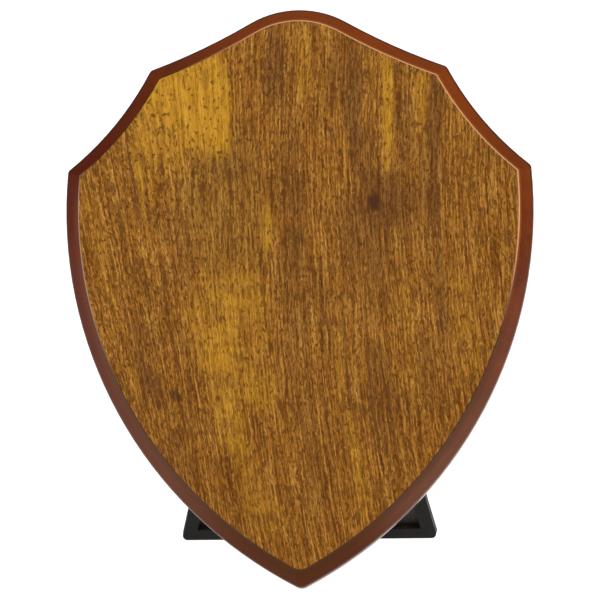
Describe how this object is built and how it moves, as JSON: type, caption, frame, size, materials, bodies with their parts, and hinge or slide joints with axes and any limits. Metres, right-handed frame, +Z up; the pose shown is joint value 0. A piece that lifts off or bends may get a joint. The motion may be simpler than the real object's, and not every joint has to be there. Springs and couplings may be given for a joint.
{
  "type": "wooden plaque",
  "caption": "Shield-shaped wooden presentation plaque with a bevelled edge, a fold-out strut to stand on and a keyhole plate to hang by.",
  "frame": {"origin": "middle of the footprint on the table, under the centre of the object's bounding box, with the strut open", "axes": "+Z up, -Y towards the viewer in front, +X to the viewer's right; the board leans back 20.5 degrees from the vertical"},
  "size_m": [0.1414, 0.0704, 0.1659],
  "materials": {
    "stained_edge": "mahogany stain under gloss lacquer",
    "grain_laminate": "satin printed wood grain",
    "strut_plastic": "fine satin texture",
    "zinc_steel": "bright zinc plating"
  },
  "bodies": {
    "board": {"board_core": "stained_edge", "front_laminate": "grain_laminate", "back_laminate": "grain_laminate", "hinge_bracket": "strut_plastic", "hinge_pin": "zinc_steel", "bracket_screws": "zinc_steel", "hanger_plate": "zinc_steel", "hanger_screws": "zinc_steel"},
    "strut": {"strut_leg": "strut_plastic"}
  },
  "joints": [
    {"name": "strut_fold", "type": "hinge", "parent": "board", "child": "strut", "pos_m": [0, 0.00536, 0.07301], "axis": [-1, 0, 0], "range_deg": [0, 35.3]}
  ]
}
